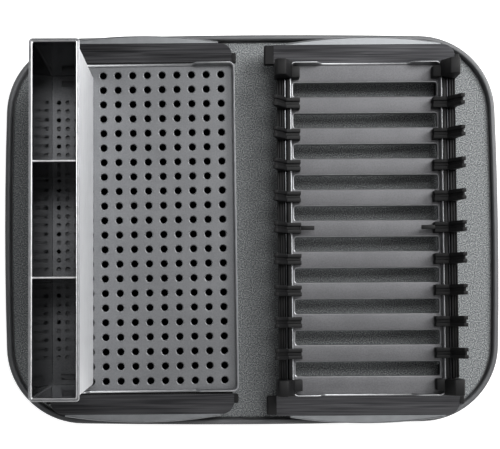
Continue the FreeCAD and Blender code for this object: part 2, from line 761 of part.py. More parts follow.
def slide_right_rack():
    """The right rack and all it carries stand a little nearer the front."""
    for item in nodes:
        if item.Label.startswith(("right_", "left_comb_", "slatted_")) and item.TypeId in WHOLE_TYPES:
            item.Placement.Base.y = amount("right_y")


# Assembly ---------------------------------------------------------------------------------------------------

base_tray()
liner_mat()
tray_feet()
for rack in ("left", "right"):
    cradle_frame(rack)
    for end_name, end_sign in (("back", 1), ("front", -1)):
        wing(rack, end_name, end_sign)
        grip(rack, end_name, end_sign)
    end_caps(rack)
perforated_panel()
edge_frame("perforated_edge", "left", "pan_half", "pan_end", "pan_lip")
slatted_panel()
edge_frame("slatted_edge", "right", "slat_half", "rack_end", "slat_lip")
comb("left_comb", -1)
comb("right_comb", 1)
caddy_shell()
caddy_rim()
caddy_floor()
divider("back_divider", 1)
divider("front_divider", -1)
turn_pieces(["perforated_panel", "perforated_edge"], "left_x", "0", "pan_turn")
turn_pieces(["caddy_shell", "caddy_rim", "caddy_floor", "back_divider", "front_divider"], "caddy_x", "caddy_y",
            "caddy_turn")
slide_right_rack()

doc.recompute()
for item in doc.Objects:
    if "Invalid" in item.State or "Error" in item.State:
        raise RuntimeError(f"{item.Label} failed: {item.State}")
os.makedirs("parts", exist_ok=True)
for item in nodes:
    if item.Shape.isNull() or not item.Shape.isValid():
        raise RuntimeError(f"{item.Label} has no valid shape")
    item.Shape.exportStep(f"parts/{item.Label}.step")
    extent = item.Shape.BoundBox
    print(f"{item.Label:22s} solids {len(item.Shape.Solids):2d} volume {item.Shape.Volume:10.1f} "
          f"X {extent.XMin:7.1f} {extent.XMax:7.1f} Y {extent.YMin:7.1f} {extent.YMax:7.1f} "
          f"Z {extent.ZMin:6.1f} {extent.ZMax:6.1f}")
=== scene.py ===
import json
import math
import bmesh
import bpy
from mathutils import Matrix, Vector


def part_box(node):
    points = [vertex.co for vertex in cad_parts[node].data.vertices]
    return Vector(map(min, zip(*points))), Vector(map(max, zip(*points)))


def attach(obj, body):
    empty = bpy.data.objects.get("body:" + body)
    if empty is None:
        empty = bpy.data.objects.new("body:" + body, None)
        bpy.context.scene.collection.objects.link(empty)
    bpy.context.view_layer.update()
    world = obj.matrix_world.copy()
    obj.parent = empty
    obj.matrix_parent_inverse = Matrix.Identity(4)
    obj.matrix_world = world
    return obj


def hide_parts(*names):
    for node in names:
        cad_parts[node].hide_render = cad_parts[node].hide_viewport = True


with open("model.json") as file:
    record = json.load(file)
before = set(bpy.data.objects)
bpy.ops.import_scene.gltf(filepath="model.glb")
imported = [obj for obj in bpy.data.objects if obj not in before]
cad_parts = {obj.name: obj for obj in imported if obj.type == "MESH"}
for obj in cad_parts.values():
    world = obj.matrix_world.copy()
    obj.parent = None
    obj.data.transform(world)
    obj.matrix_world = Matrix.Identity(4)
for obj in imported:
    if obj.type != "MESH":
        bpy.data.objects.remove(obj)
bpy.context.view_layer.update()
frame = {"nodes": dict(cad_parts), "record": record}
scene = bpy.context.scene
MM = 0.001

# Driving places, in metres, from the frame. "Half" sizes are measured from a piece's own middle.
slat_low, slat_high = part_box("slatted_edge")
pan_low, pan_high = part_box("perforated_panel")
LEFT_X = (pan_low[0] + pan_high[0]) / 2
RIGHT_X = (slat_low[0] + slat_high[0]) / 2
RIGHT_Y = (slat_low[1] + slat_high[1]) / 2
SHEET_TOP = pan_high[2]
EDGE_TOP = slat_high[2]
PAN_TURN = math.radians(0.4)
PAN_HALF = (83.3 * MM, 144 * MM)
SLAT_HALF = (66.4 * MM, 146 * MM)
SHEET_CORNER = 5 * MM
NEAR = 0.02 * MM  # how close a point must be to count as lying on an outline
MERGE = 0.01 * MM  # points closer than this are joined


# Helpers for mesh work ---------------------------------------------------------------------------

def move(work, verts, x=0.0, y=0.0, z=0.0):
    bmesh.ops.translate(work, verts=verts, vec=Vector((x, y, z)))


def bevel_edges(work, edges, width, segments):
    return bmesh.ops.bevel(work, geom=list(edges), offset=width, offset_type="OFFSET", segments=segments,
                           profile=0.5, affect="EDGES", clamp_overlap=True, material=-1)


def bevel_corners(work, verts, width, segments):
    return bmesh.ops.bevel(work, geom=list(verts), offset=width, offset_type="OFFSET", segments=segments,
                           profile=0.5, affect="VERTICES", clamp_overlap=True, material=-1)


def plate(work, half_x, half_y, z=0.0):
    """A flat rectangle about the origin; gives its one face."""
    made = bmesh.ops.create_grid(work, x_segments=1, y_segments=1, size=1.0)
    bmesh.ops.scale(work, verts=made["verts"], vec=(half_x, half_y, 1))
    move(work, made["verts"], z=z)
    return made["verts"][0].link_faces[0]


def slab(work, points, axis, low, high):
    """A solid from a polygon of (across, up) points, drawn out along X or Y from low to high."""
    verts = []
    for across, up in points:
        verts.append(work.verts.new((across, low, up) if axis == "Y" else (low, across, up)))
    face = work.faces.new(verts)
    drawn = bmesh.ops.extrude_face_region(work, geom=[face], use_keep_orig=True)
    far = [item for item in drawn["geom"] if isinstance(item, bmesh.types.BMVert)]
    reach = high - low
    move(work, far, y=reach if axis == "Y" else 0.0, x=reach if axis == "X" else 0.0)
    group = set(verts) | set(far)
    edges = {e for v in group for e in v.link_edges}
    return list(group), edges


def mark_painted_highlight_faces(work):
    """Gives the sloping faces of a lip or a roll the piece's second material, a lighter steel that paints
    their highlight.
    """
    for face in work.faces:
        face.material_index = 1 if 0.1 < face.normal.z < 0.97 else 0


def sharp(edges, least=30):
    """The edges whose two faces meet at more than an angle in degrees."""
    return [e for e in edges if len(e.link_faces) == 2 and e.calc_face_angle(0) > math.radians(least)]


def finish_piece(name, work, body, replaced, finish, smooth=40):
    """Turns a bmesh into a piece that rides on a body and stands for CAD nodes."""
    bmesh.ops.recalc_face_normals(work, faces=work.faces[:])
    for face in work.faces:
        face.smooth = True
    for edge in work.edges:
        edge.smooth = len(edge.link_faces) != 2 or edge.calc_face_angle(0) < math.radians(smooth)
    mesh = bpy.data.meshes.new(name)
    work.to_mesh(mesh)
    work.free()
    item = bpy.data.objects.new(name, mesh)
    scene.collection.objects.link(item)
    mesh.materials.append(finish)
    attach(item, body)
    if replaced:
        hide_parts(*replaced)
    return item


def on_ring(point, half, corner, offset):
    """A point's place on the round-cornered outline that lies offset outside the base outline."""
    reach_x, reach_y = half[0] - corner, half[1] - corner
    centre = Vector((max(-reach_x, min(reach_x, point.x)), max(-reach_y, min(reach_y, point.y)), 0))
    away = Vector((point.x, point.y, 0)) - centre
    return centre + away.normalized() * (corner + offset)


def drawn_ring(work, half, corner, profile, cuts=(), closed=False, segments=6):
    """Draws a section around a round-cornered outline. The section is a list of (offset, height) pairs,
    where a height may be a function of the place; cuts are extra places along X where the ends get points."""
    face = plate(work, half[0], half[1])
    bevel_corners(work, face.verts[:], corner, segments)
    for place in cuts:
        bmesh.ops.bisect_plane(work, geom=work.verts[:] + work.edges[:] + work.faces[:], dist=0.001 * MM,
                               plane_co=(place, 0, 0), plane_no=(1, 0, 0))
    blank = work.faces[:]
    loop = [e for e in work.edges if e.is_boundary]
    for index, (offset, height) in enumerate(profile):
        if index:
            drawn = bmesh.ops.extrude_edge_only(work, edges=loop)["geom"]
            loop = [item for item in drawn if isinstance(item, bmesh.types.BMEdge)]
        for vert in {v for e in loop for v in e.verts}:
            spot = on_ring(vert.co, half, corner, offset)
            spot.z = height(spot) if callable(height) else height
            vert.co = spot
    bmesh.ops.delete(work, geom=blank, context="FACES")
    if closed:
        bmesh.ops.remove_doubles(work, verts=work.verts[:], dist=0.005 * MM)


def turn_and_place(work, angle, x, y, z=0.0):
    bmesh.ops.rotate(work, verts=work.verts[:], cent=(0, 0, 0), matrix=Matrix.Rotation(angle, 3, "Z"))
    move(work, work.verts[:], x, y, z)


# Perforated pan ----------------------------------------------------------------------------------

HOLE_PITCH = (12.95 * MM, 12.8 * MM)
HOLE_COUNT = (12, 22)
HOLE_RADIUS = 2.9 * MM
HOLE_SIDES = 16
HOLE_LIP = 0.8 * MM
HOLE_DISH = 0.75 * MM
SHEET_THICK = 1.0 * MM


def drilled_cell(work, half_x, half_y, radius, lip, dish, thick):
    """One cell of sheet with a hole in it: rings joined from the top outline, over a dished lip, to the
    bottom. A flat ring just outside the lip keeps the sheet's shading flat. The square outlines have no reach.
    Known fault: the last join, under the sheet, is twisted. Its faces cross below the hole and close it, and
    the normals over the drilled area point down."""
    rings = []
    sections = [(None, 0), (radius + 1.3 * lip, 0), (radius + lip, 0), (radius + 0.4 * lip, -0.3 * dish),
                (radius, -dish), (radius, -thick), (None, -thick)]
    for reach, height in sections:
        made = bmesh.ops.create_circle(work, cap_ends=False, radius=1.0, segments=HOLE_SIDES)
        for vert in made["verts"]:
            if reach is None:
                spread = max(abs(vert.co.x), abs(vert.co.y))
                vert.co = Vector((vert.co.x / spread * half_x, vert.co.y / spread * half_y, height))
            else:
                vert.co = Vector((vert.co.x * reach, vert.co.y * reach, height))
        rings.append(list({e for v in made["verts"] for e in v.link_edges}))
    for first, second in zip(rings, rings[1:]):
        bmesh.ops.bridge_loops(work, edges=first + second)


def repeat_along(work, step, count):
    """Copies all the geometry count - 1 times, a step apart."""
    geometry = work.verts[:] + work.edges[:] + work.faces[:]
    for index in range(1, count):
        copy = bmesh.ops.duplicate(work, geom=geometry)["geom"]
        bmesh.ops.translate(work, verts=[g for g in copy if isinstance(g, bmesh.types.BMVert)],
                            vec=Vector(step) * index)


def drilled_sheet(work, pitch, count, radius, lip, dish, thick):
    """A grid of drilled cells about the origin, its top at zero."""
    drilled_cell(work, pitch[0] / 2, pitch[1] / 2, radius, lip, dish, thick)
    move(work, work.verts[:], x=-(count[0] - 1) * pitch[0] / 2, y=-(count[1] - 1) * pitch[1] / 2)
    repeat_along(work, (pitch[0], 0, 0), count[0])
    repeat_along(work, (0, pitch[1], 0), count[1])
    bmesh.ops.remove_doubles(work, verts=work.verts[:], dist=MERGE)


def add_margin(work, inner, outer, corner_cut):
    """Draws the sheet's open edges out to its outline and closes its side."""
    edges = [e for e in work.edges if e.is_boundary]
    drawn = bmesh.ops.extrude_edge_only(work, edges=edges)["geom"]
    border = [item for item in drawn if isinstance(item, bmesh.types.BMEdge)]
    for vert in {v for e in border for v in e.verts}:
        ends = [abs(vert.co[axis]) > inner[axis] - NEAR for axis in (0, 1)]
        for axis in (0, 1):
            if ends[axis]:
                reach = outer[axis] - (corner_cut if all(ends) else 0)
                vert.co[axis] = math.copysign(reach, vert.co[axis])
    bmesh.ops.bridge_loops(work, edges=border)


def make_perforated_sheet(finish, lip_highlight_finish):
    """Satin sheet whose holes are pressed: each has a small dished lip that catches the light, and the lip is
    painted in a near-white steel as a painted highlight.
    """
    work = bmesh.new()
    drilled_sheet(work, HOLE_PITCH, HOLE_COUNT, HOLE_RADIUS, HOLE_LIP, HOLE_DISH, SHEET_THICK)
    grid = (HOLE_PITCH[0] * HOLE_COUNT[0] / 2, HOLE_PITCH[1] * HOLE_COUNT[1] / 2)
    add_margin(work, grid, PAN_HALF, 0.3 * SHEET_CORNER)
    mark_painted_highlight_faces(work)
    turn_and_place(work, PAN_TURN, LEFT_X, 0, SHEET_TOP)
    sheet = finish_piece("perforated_sheet", work, "perforated_tray", ["perforated_panel"],
                         finish)
    sheet.data.materials.append(lip_highlight_finish)


# Upstands ----------------------------------------------------------------------------------------

EDGE_HEIGHT = EDGE_TOP - SHEET_TOP
EDGE_LOW = 1.2 * MM
EDGE_RAMP = 6.5 * MM
EDGE_GAP = 0.05 * MM
RAMP_STEPS = 6
# The edge's section: how far in each point is, as a share of the flare's width, and how high, as a share of
# the edge's height.
FLARE = [(1.0, 0.0), (0.9, 0.35), (0.8, 0.7), (0.6, 0.92), (0.3, 1.0), (0.0, 0.99), (-0.08, 0.9),
         (0.0, 0.8), (0.3, 0.84), (0.45, 0.76), (0.52, 0.6), (0.6, 0.3), (0.7, 0.0), (1.0, 0.0)]
PAN_LIP, SLAT_LIP = 32 * MM, 23 * MM
PAN_FLARE, SLAT_FLARE = 2.3 * MM, 1.8 * MM


def make_upstand(name, node, body, half, lip, width, angle, x, y, finish):
    """The sheet's raised edge: upright, flared and rolled at its top, high at the corners and low between.
    Lip is how far the high part runs in from a corner along an end, and width is the flare's, from the sheet
    to the outside of the roll."""
    full = half[0] - lip

    def rise(spot, share):
        """The edge's height above the sheet where it runs, times a share."""
        if abs(spot.x) >= full or abs(spot.y) < half[1] - SHEET_CORNER:
            tall = 1.0
        else:
            part = min(1.0, (full - abs(spot.x)) / EDGE_RAMP)
            tall = 1.0 - part * part * (3 - 2 * part)
        return (EDGE_LOW + (EDGE_HEIGHT - EDGE_LOW) * tall) * share

    cuts = [sign * (full - EDGE_RAMP * k / RAMP_STEPS) for sign in (-1, 1) for k in range(RAMP_STEPS + 1)]
    section = [(-inset * width, lambda p, up=up: EDGE_GAP + rise(p, up)) for inset, up in FLARE]
    work = bmesh.new()
    drawn_ring(work, half, SHEET_CORNER, section, cuts, closed=True)
    turn_and_place(work, angle, x, y, SHEET_TOP)
    finish_piece(name, work, body, [node], finish, smooth=60)


# Slatted sheet -----------------------------------------------------------------------------------

WINDOW_HALF = (63 * MM, 5.9 * MM)
WINDOW_PITCH = 27.3 * MM
WINDOW_COUNT = 10
WINDOW_CORNER = 1.6 * MM
WINDOW_DROP = 4.6 * MM
WINDOW_ROLL = 1.6 * MM
SLAT_THICK = 0.8 * MM


def window_cell(work):
    """One window with round corners and the sheet around it, as far as halfway to its neighbours."""
    face = plate(work, WINDOW_HALF[0], WINDOW_HALF[1])
    bevel_corners(work, face.verts[:], WINDOW_CORNER, 4)
    blank = work.faces[:]
    loop = [e for e in work.edges if e.is_boundary]
    drawn = bmesh.ops.extrude_edge_only(work, edges=loop)["geom"]
    centre = Vector((WINDOW_HALF[0] - WINDOW_CORNER, WINDOW_HALF[1] - WINDOW_CORNER))
    cell = Vector((SLAT_HALF[0], WINDOW_PITCH / 2)) - centre
    for vert in [item for item in drawn if isinstance(item, bmesh.types.BMVert)]:
        dx, dy = abs(vert.co.x) - centre.x, abs(vert.co.y) - centre.y
        spread = max(dx, dy)
        vert.co.x = math.copysign(centre.x + dx / spread * cell.x, vert.co.x)
        vert.co.y = math.copysign(centre.y + dy / spread * cell.y, vert.co.y)
    bmesh.ops.delete(work, geom=blank, context="FACES")


def make_slatted_sheet(finish, roll_highlight_finish):
    """Satin sheet with ten long windows whose edges are rolled down into the gaps; the rolls are painted in a
    lighter steel as a painted highlight.
    """
    work = bmesh.new()
    window_cell(work)
    move(work, work.verts[:], y=-(WINDOW_COUNT - 1) * WINDOW_PITCH / 2)
    repeat_along(work, (0, WINDOW_PITCH, 0), WINDOW_COUNT)
    bmesh.ops.remove_doubles(work, verts=work.verts[:], dist=MERGE)
    end = WINDOW_COUNT * WINDOW_PITCH / 2
    ends = [e for e in work.edges if e.is_boundary and all(abs(v.co.y) > end - NEAR for v in e.verts)]
    drawn = bmesh.ops.extrude_edge_only(work, edges=ends)["geom"]
    for vert in [item for item in drawn if isinstance(item, bmesh.types.BMVert)]:
        vert.co.y = math.copysign(SLAT_HALF[1], vert.co.y)
    bevel_corners(work, [v for v in work.verts if abs(v.co.x) > SLAT_HALF[0] - NEAR
                         and abs(v.co.y) > SLAT_HALF[1] - NEAR], SHEET_CORNER - 0.5 * MM, 4)
    rims = [e for e in work.edges if e.is_boundary and all(
        abs(v.co.x) < WINDOW_HALF[0] + NEAR and abs(v.co.y) < end - 1 * MM for v in e.verts)]
    drawn = bmesh.ops.extrude_edge_only(work, edges=rims)["geom"]
    move(work, [item for item in drawn if isinstance(item, bmesh.types.BMVert)], z=-WINDOW_DROP)
    bmesh.ops.recalc_face_normals(work, faces=work.faces[:])
    if max(work.faces, key=lambda f: f.calc_area()).normal.z < 0:
        bmesh.ops.reverse_faces(work, faces=work.faces[:])
    bevel_edges(work, rims, WINDOW_ROLL, 4)
    bmesh.ops.solidify(work, geom=work.faces[:], thickness=SLAT_THICK)
    mark_painted_highlight_faces(work)
    turn_and_place(work, 0.0, RIGHT_X, RIGHT_Y, SHEET_TOP)
    sheet = finish_piece("slatted_sheet", work, "slatted_tray", ["slatted_panel"], finish,
                         smooth=50)
    sheet.data.materials.append(roll_highlight_finish)


# Combs -------------------------------------------------------------------------------------------

# Sections are (across, up) points in millimetres, measured from the rack's middle and from the table.
# Lengths along the comb are in millimetres from its middle, or from a prong's middle for its ribs and web.
PRONG_COUNT = 9
RIB_ENDS = ((1.5, 4.6), (-4.6, -1.5))
WEB_REACH = 1.6
RAIL_REACH = 131
FINGER_REACH = 1.8
BLOCK_START, BLOCK_FOOT_END, BLOCK_POST_END = 131.5, 141.4, 145.6
RIB = [(58, 35.5), (64.4, 35.5), (64.4, 43.5), (66.9, 43.5), (66.9, 43.05), (78, 43.05), (78.2, 46.8),
       (82.6, 62), (79, 62), (72.5, 52.8), (69.8, 46.8), (58, 46.8)]
WEB = [(58.6, 36), (63.8, 36), (63.8, 44), (77.2, 44), (77.4, 46.6), (81.5, 60.4), (79.8, 60.4), (73.6, 52.4),
       (70.6, 45.2), (58.6, 45.2)]
RAIL = [(66.8, 34.4), (78, 34.4), (78, 43), (77, 43), (77, 41.9), (76, 41.9), (76, 43), (74.9, 43),
        (74.9, 41.9), (73.9, 41.9), (73.9, 43), (72.5, 43), (72.5, 40), (69.6, 40), (69.6, 43), (66.8, 43)]
BLOCK_FOOT = [(58, 35.5), (64.4, 35.5), (64.4, 43.5), (69.6, 43.5), (69.6, 47.6), (58, 46.8)]
BLOCK_POST = [(64.8, 43.5), (66.9, 43.5), (66.9, 34.5), (80.2, 34.5), (80.2, 57.5), (78.6, 60), (71, 60),
              (69.4, 57.5), (64.8, 47.5)]
FINGER = [(46.5, 44.2), (58.3, 43.2), (58.3, 46.8), (46.5, 46.4)]


def comb_slab(work, side, points, low, high, round_off):
    """A bevelled solid with a section given in millimetres from the rack's middle, on one side of it."""
    section = [(RIGHT_X + side * across * MM, up * MM) for across, up in points]
    verts, edges = slab(work, section, "Y", RIGHT_Y + low * MM, RIGHT_Y + high * MM)
    bmesh.ops.recalc_face_normals(work, faces=list({f for v in verts for f in v.link_faces}))
    bevel_edges(work, sharp(edges), round_off * MM, 2)


def make_comb(name, side, finish):
    """A grooved rail, nine ribbed prongs on saddle feet, a thin finger and two end blocks."""
    rail = bmesh.new()
    comb_slab(rail, side, RAIL, -RAIL_REACH, RAIL_REACH, 0.25)
    finish_piece(f"{name}_grooved_rail", rail, name, [f"{name}_rail"], finish)
    prongs = bmesh.new()
    for index in range(PRONG_COUNT):
        middle = (index - (PRONG_COUNT - 1) / 2) * WINDOW_PITCH / MM
        for low, high in RIB_ENDS:
            comb_slab(prongs, side, RIB, middle + low, middle + high, 0.45)
        comb_slab(prongs, side, WEB, middle - WEB_REACH, middle + WEB_REACH, 0.2)
    finish_piece(f"{name}_ribbed_prongs", prongs, name, [f"{name}_prongs"], finish)
    finger = bmesh.new()
    comb_slab(finger, side, FINGER, -FINGER_REACH, FINGER_REACH, 0.5)
    finish_piece(f"{name}_thin_finger", finger, name, [f"{name}_finger"], finish)
    blocks = bmesh.new()
    for end in (-1, 1):
        for section, far in ((BLOCK_FOOT, BLOCK_FOOT_END), (BLOCK_POST, BLOCK_POST_END)):
            low, high = sorted((end * BLOCK_START, end * far))
            comb_slab(blocks, side, section, low, high, 0.8)
    finish_piece(f"{name}_bevelled_blocks", blocks, name, [f"{name}_end_blocks"], finish)


# Caddy -------------------------------------------------------------------------------------------

CADDY_TURN = math.radians(-0.15)
rim_low, rim_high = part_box("caddy_rim")
CADDY_X = (rim_low[0] + rim_high[0]) / 2
CADDY_Y = (rim_low[1] + rim_high[1]) / 2
CADDY_TOP = rim_high[2]
CADDY_HALF = (18.2 * MM, 140.8 * MM)
CADDY_DRAFT = 4.5 * MM
CADDY_CORNER = 3 * MM
CADDY_FOOT = 35.4 * MM
CADDY_SKIN = 0.5 * MM
CADDY_WALL = 1.0 * MM
RIM_FLAT = 1.9 * MM
HEM_SIZE = 1.6 * MM
HEM_PROUD = 0.2 * MM


def lean_in(work, height):
    """Draws the caddy's two ends in towards its foot."""
    for vert in work.verts:
        fall = (CADDY_TOP - vert.co.z) / height
        vert.co.y -= math.copysign(CADDY_DRAFT * fall, vert.co.y)


def caddy_piece(name, half, corner, section, replaced, finish, lean=True):
    """A closed ring about the caddy's middle from a section of (offset, height) points."""
    work = bmesh.new()
    drawn_ring(work, half, corner, section, closed=True)
    if lean:
        lean_in(work, CADDY_TOP - CADDY_FOOT)
    turn_and_place(work, CADDY_TURN, CADDY_X, CADDY_Y)
    finish_piece(name, work, "caddy", replaced, finish, smooth=50)


def make_caddy(outside, inside, rim, bead):
    """A tall box of two skins, satin outside and mirror-like inside, under a flange with two rolled beads. The
    outside's near-white tone is painted light, the inside's dark tone is painted shade, and the beads' light
    tones are painted highlights.
    """
    top = CADDY_TOP - 1.6 * MM
    skin, wall = CADDY_SKIN, CADDY_WALL
    caddy_piece("caddy_outer_wall", CADDY_HALF, CADDY_CORNER,
                [(0, top), (0, CADDY_FOOT + 1 * MM), (-0.3 * MM, CADDY_FOOT), (-3.4 * MM + skin, CADDY_FOOT),
                 (-3.4 * MM + skin, CADDY_FOOT + skin), (-skin, CADDY_FOOT + 1.2 * MM), (-skin, top),
                 (0, top)],
                ["caddy_shell"], outside)
    shelf = CADDY_FOOT + 2 * MM
    caddy_piece("caddy_inner_wall", CADDY_HALF, CADDY_CORNER,
                [(-wall, top), (-wall, shelf), (-2.9 * MM, shelf), (-2.9 * MM, shelf - skin),
                 (-skin - 0.02 * MM, shelf - skin), (-skin - 0.02 * MM, top), (-wall, top)],
                ["caddy_shell"], inside)
    reach = (CADDY_HALF[0] + RIM_FLAT, CADDY_HALF[1] + RIM_FLAT + 0.2 * MM)
    low = CADDY_TOP - 1.8 * MM
    inner = -(RIM_FLAT + wall)
    caddy_piece("caddy_beaded_rim", reach, CADDY_CORNER,
                [(-0.1 * MM, low), (0, low + 0.8 * MM), (-0.15 * MM, CADDY_TOP - 0.35 * MM),
                 (-0.5 * MM, CADDY_TOP), (-1.1 * MM, CADDY_TOP - 0.05 * MM),
                 (-1.4 * MM, CADDY_TOP - 0.6 * MM), (-1.9 * MM, CADDY_TOP - 0.8 * MM), (-1.9 * MM, low),
                 (-0.1 * MM, low)],
                ["caddy_rim"], rim, lean=False)
    caddy_piece("caddy_mouth_bead", reach, CADDY_CORNER,
                [(-1.95 * MM, low), (-1.95 * MM, CADDY_TOP - 0.5 * MM), (-2.1 * MM, CADDY_TOP - 0.15 * MM),
                 (-2.4 * MM, CADDY_TOP), (-2.7 * MM, CADDY_TOP - 0.15 * MM), (inner, CADDY_TOP - 0.5 * MM),
                 (inner, low), (-1.95 * MM, low)],
                ["caddy_rim"], bead, lean=False)


def make_divider_hem(side, finish):
    """The folded hem along a divider's top."""
    low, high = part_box(f"{side}_divider")
    work = bmesh.new()
    middle = (low[1] + high[1]) / 2
    front, back = middle - HEM_SIZE / 2, middle + HEM_SIZE / 2
    foot, crest = high[2] - HEM_SIZE, high[2] + HEM_PROUD
    section = [(front, foot), (back, foot), (back, crest), (front, crest)]
    _, edges = slab(work, section, "X", low[0], high[0])
    bmesh.ops.recalc_face_normals(work, faces=work.faces[:])
    bevel_edges(work, [e for e in edges if abs(e.verts[0].co.x - e.verts[1].co.x) > HEM_SIZE], 0.5 * MM, 3)
    finish_piece(f"{side}_divider_hem", work, "caddy", [], finish)


# Helpers for shading -----------------------------------------------------------------------------

def linear(hexed):
    """An sRGB hex colour as linear red, green, blue and alpha."""
    parts = [int(hexed[i:i + 2], 16) / 255 for i in (0, 2, 4)]
    return [c / 12.92 if c <= 0.04045 else ((c + 0.055) / 1.055) ** 2.4 for c in parts] + [1.0]


def add(tree, kind, settings=None, inputs=None, stops=None):
    """Adds a node with its settings, its input values or links, and the stops of a colour ramp."""
    item = tree.nodes.new("ShaderNode" + kind)
    for name, value in (settings or {}).items():
        setattr(item, name, value)
    for name, value in (inputs or {}).items():
        if isinstance(value, bpy.types.NodeSocket):
            tree.links.new(value, item.inputs[name])
        else:
            item.inputs[name].default_value = value
    for index, (place, hexed) in enumerate(stops or []):
        elements = item.color_ramp.elements
        stop = elements[index] if index < 2 else elements.new(place)
        stop.position = place
        stop.color = linear(hexed)
    return item


def begin(name):
    """A new material: its node tree and the piece's own coordinates in metres."""
    made = bpy.data.materials.new(name)
    made.use_nodes = True
    made.node_tree.nodes.clear()
    place = add(made.node_tree, "TexCoord").outputs["Object"]
    return made, made.node_tree, place


def close(tree, shader):
    """Joins the shader to the material's output."""
    add(tree, "OutputMaterial", inputs={"Surface": shader.outputs["BSDF"]})


def moulded_plastic(name, dark, light, roughness, specular):
    """Injection-moulded plastic from a spark-eroded mould: a fine even grain and slightly cloudy colour."""
    made, tree, place = begin(name)
    cloud = add(tree, "TexNoise", inputs={"Vector": place, "Scale": 1 / (25 * MM), "Detail": 3.0})
    colour = add(tree, "ValToRGB", inputs={"Fac": cloud.outputs["Fac"]}, stops=[(0.3, dark), (0.7, light)])
    grain = add(tree, "TexNoise", inputs={"Vector": place, "Scale": 1 / (0.7 * MM), "Detail": 2.0})
    bump = add(tree, "Bump", inputs={"Height": grain.outputs["Fac"], "Strength": 0.2, "Distance": 0.08 * MM})
    shine = add(tree, "MapRange", inputs={"Value": grain.outputs["Fac"], "To Min": roughness - 0.06,
                                          "To Max": roughness + 0.08})
    close(tree, add(tree, "BsdfPrincipled", inputs={
        "Base Color": colour.outputs["Color"], "Roughness": shine.outputs["Result"],
        "Normal": bump.outputs["Normal"], "Specular IOR Level": specular}))
    return made


def grained_rubber():
    """Calendered rubber sheet with a pebbled skin; the pebbles are drawn at about 1 mm so that they show."""
    made, tree, place = begin("pebbled_rubber_sheet")
    pebble = add(tree, "TexVoronoi", {"feature": "SMOOTH_F1"}, {"Vector": place, "Scale": 1 / (1.1 * MM)})
    speck = add(tree, "TexNoise", inputs={"Vector": place, "Scale": 1 / (1.0 * MM), "Detail": 2.0})
    colour = add(tree, "ValToRGB", inputs={"Fac": speck.outputs["Fac"]},
                 stops=[(0.32, "36383a"), (0.5, "686b6d"), (0.68, "9a9d9c")])
    bump = add(tree, "Bump", inputs={"Height": pebble.outputs["Distance"], "Strength": 0.5,
                                     "Distance": 0.2 * MM})
    close(tree, add(tree, "BsdfPrincipled", inputs={
        "Base Color": colour.outputs["Color"], "Roughness": 0.6, "Normal": bump.outputs["Normal"],
        "Specular IOR Level": 0.35}))
    return made


def soft_rubber():
    """Moulded thermoplastic rubber: matt black with a bloom in patches."""
    made, tree, place = begin("matt_black_rubber")
    cloud = add(tree, "TexNoise", inputs={"Vector": place, "Scale": 1 / (6 * MM), "Detail": 4.0})
    colour = add(tree, "ValToRGB", inputs={"Fac": cloud.outputs["Fac"]},
                 stops=[(0.3, "141416"), (0.7, "232325")])
    bump = add(tree, "Bump", inputs={"Height": cloud.outputs["Fac"], "Strength": 0.15, "Distance": 0.1 * MM})
    close(tree, add(tree, "BsdfPrincipled", inputs={"Base Color": colour.outputs["Color"], "Roughness": 0.8,
                                                    "Normal": bump.outputs["Normal"]}))
    return made


def steel(name, dark, light, roughness, grain, wander, relief=0.1, anisotropic=0.0):
    """Stainless steel. Grain is the size in millimetres of its polishing marks along X, Y and Z, wander is
    how much the tone drifts in patches, and relief is how deep the marks look."""
    made, tree, place = begin(name)
    stretch = add(tree, "Mapping", inputs={"Vector": place, "Scale": [1 / (side * MM) for side in grain]})
    marks = add(tree, "TexNoise", inputs={"Vector": stretch.outputs["Vector"], "Scale": 1.0, "Detail": 3.0})
    cloud = add(tree, "TexNoise", inputs={"Vector": place, "Scale": 1 / (30 * MM), "Detail": 2.0})
    both = add(tree, "Math", {"operation": "MULTIPLY_ADD"}, {0: cloud.outputs["Fac"], 1: wander,
                                                             2: marks.outputs["Fac"]})
    colour = add(tree, "ValToRGB", inputs={"Fac": both.outputs["Value"]},
                 stops=[(0.35 + wander / 2, dark), (0.65 + wander / 2, light)])
    shine = add(tree, "MapRange", inputs={"Value": marks.outputs["Fac"], "To Min": roughness - 0.05,
                                          "To Max": roughness + 0.07})
    bump = add(tree, "Bump", inputs={"Height": marks.outputs["Fac"], "Strength": relief,
                                     "Distance": 0.05 * MM})
    close(tree, add(tree, "BsdfPrincipled", inputs={
        "Base Color": colour.outputs["Color"], "Metallic": 1.0, "Roughness": shine.outputs["Result"],
        "Anisotropic": anisotropic, "Normal": bump.outputs["Normal"]}))
    return made


def paint(item, made):
    """Gives an object one material in place of any others."""
    item.data.materials.clear()
    item.data.materials.append(made)


# Camera, floor and lights ------------------------------------------------------------------------

FLOOR_REACH = 60.0


def make_camera():
    """Above the front of the left rack, leaning a little towards the tray's middle."""
    eye = Vector((-22.0 * MM, -83.2 * MM, 1051.2 * MM))
    aim = Vector((-21.9 * MM, -45.7 * MM, 22 * MM))
    data = bpy.data.cameras.new("camera")
    data.lens = 83.57
    data.shift_x = 0.045
    data.shift_y = 0.11
    camera = bpy.data.objects.new("camera", data)
    ahead = (aim - eye).normalized()
    right = ahead.cross(Vector((0, 1, 0))).normalized()
    up = right.cross(ahead)
    tilt = Matrix.Rotation(math.radians(0.4), 3, ahead)
    turn = Matrix((tilt @ right, tilt @ up, -ahead)).transposed().to_4x4()
    camera.matrix_world = Matrix.Translation(eye) @ turn
    scene.collection.objects.link(camera)
    scene.camera = camera


